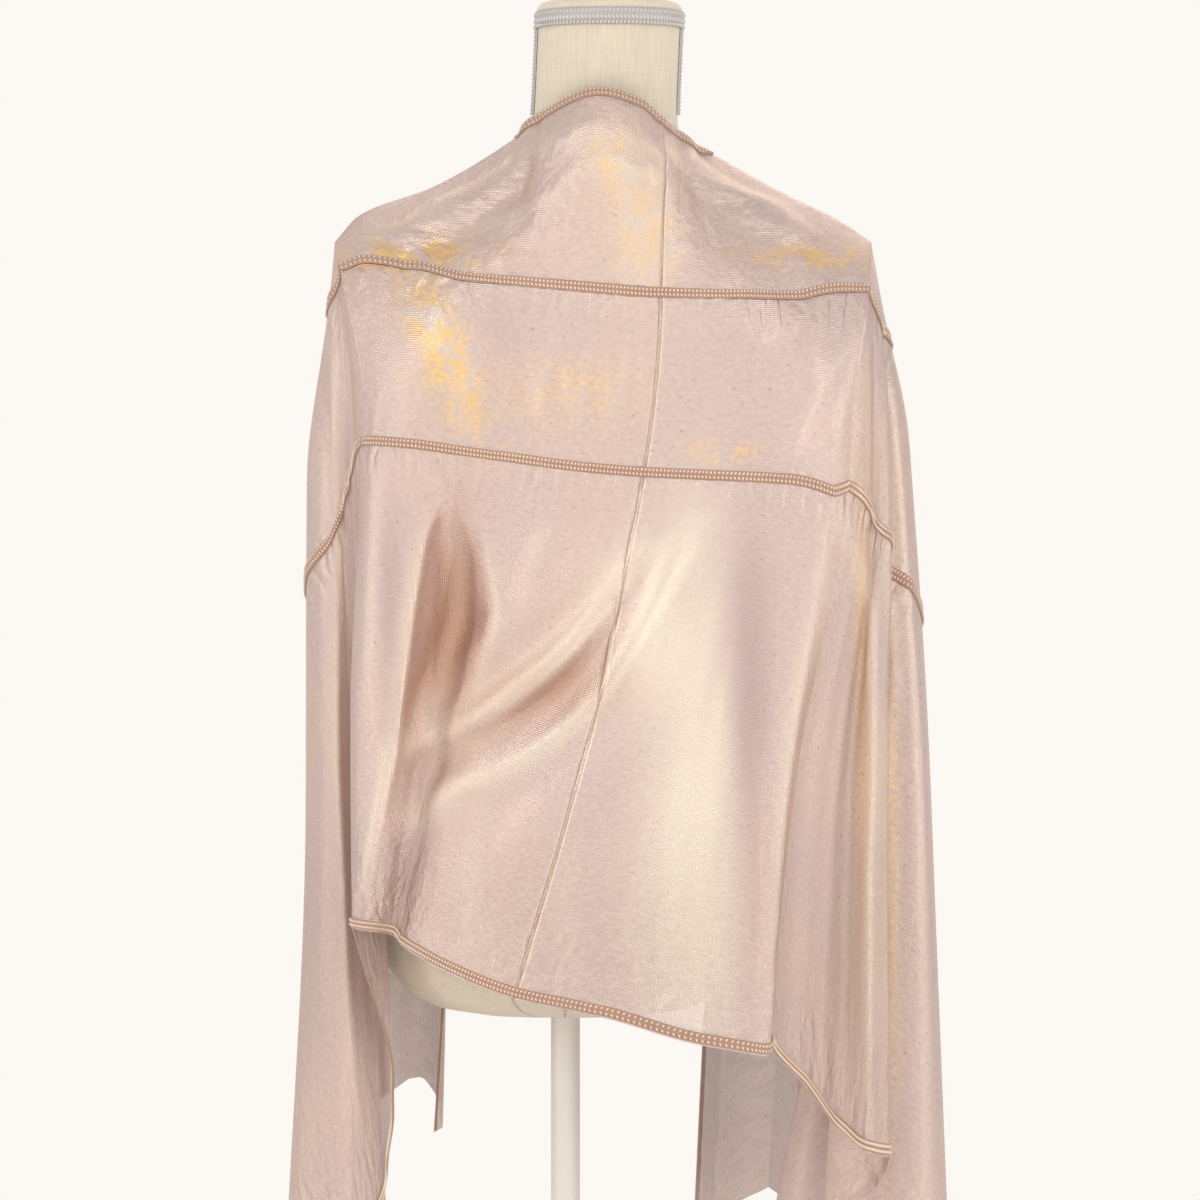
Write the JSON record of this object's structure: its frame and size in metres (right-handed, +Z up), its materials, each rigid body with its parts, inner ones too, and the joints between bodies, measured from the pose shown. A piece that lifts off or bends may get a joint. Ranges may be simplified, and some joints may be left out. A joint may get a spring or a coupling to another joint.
{
  "type": "evening stole on a dress form",
  "caption": "Rectangular evening stole with braid trim, draped over the shoulders of a limbless dress form on a pole and round base.",
  "frame": {"origin": "centre of the round base's underside, on the floor", "axes": "+Z up; -Y towards someone who looks at the back of the form; +X to that person's right"},
  "size_m": [0.5195, 0.32, 1.2083],
  "materials": {
    "stole_cloth": "sheer metallic organza, rose beige with gold",
    "stole_braid": "woven braid with pale loops",
    "form_cover": "cream linen",
    "form_braid": "pale gimp braid",
    "stand_paint": "smooth pale paint"
  },
  "bodies": {
    "root": {"stole_back": "stole_cloth", "stole_left_drape": "stole_cloth", "stole_right_drape": "stole_cloth", "braid_neck_edge": "stole_braid", "braid_upper": "stole_braid", "braid_lower": "stole_braid", "braid_hem": "stole_braid", "form_torso": "form_cover", "form_neck_cap": "form_cover", "form_neck_ring": "form_braid", "form_side_braid_left": "form_braid", "form_side_braid_right": "form_braid", "stand_pole": "stand_paint", "stand_base": "stand_paint"}
  },
  "joints": []
}
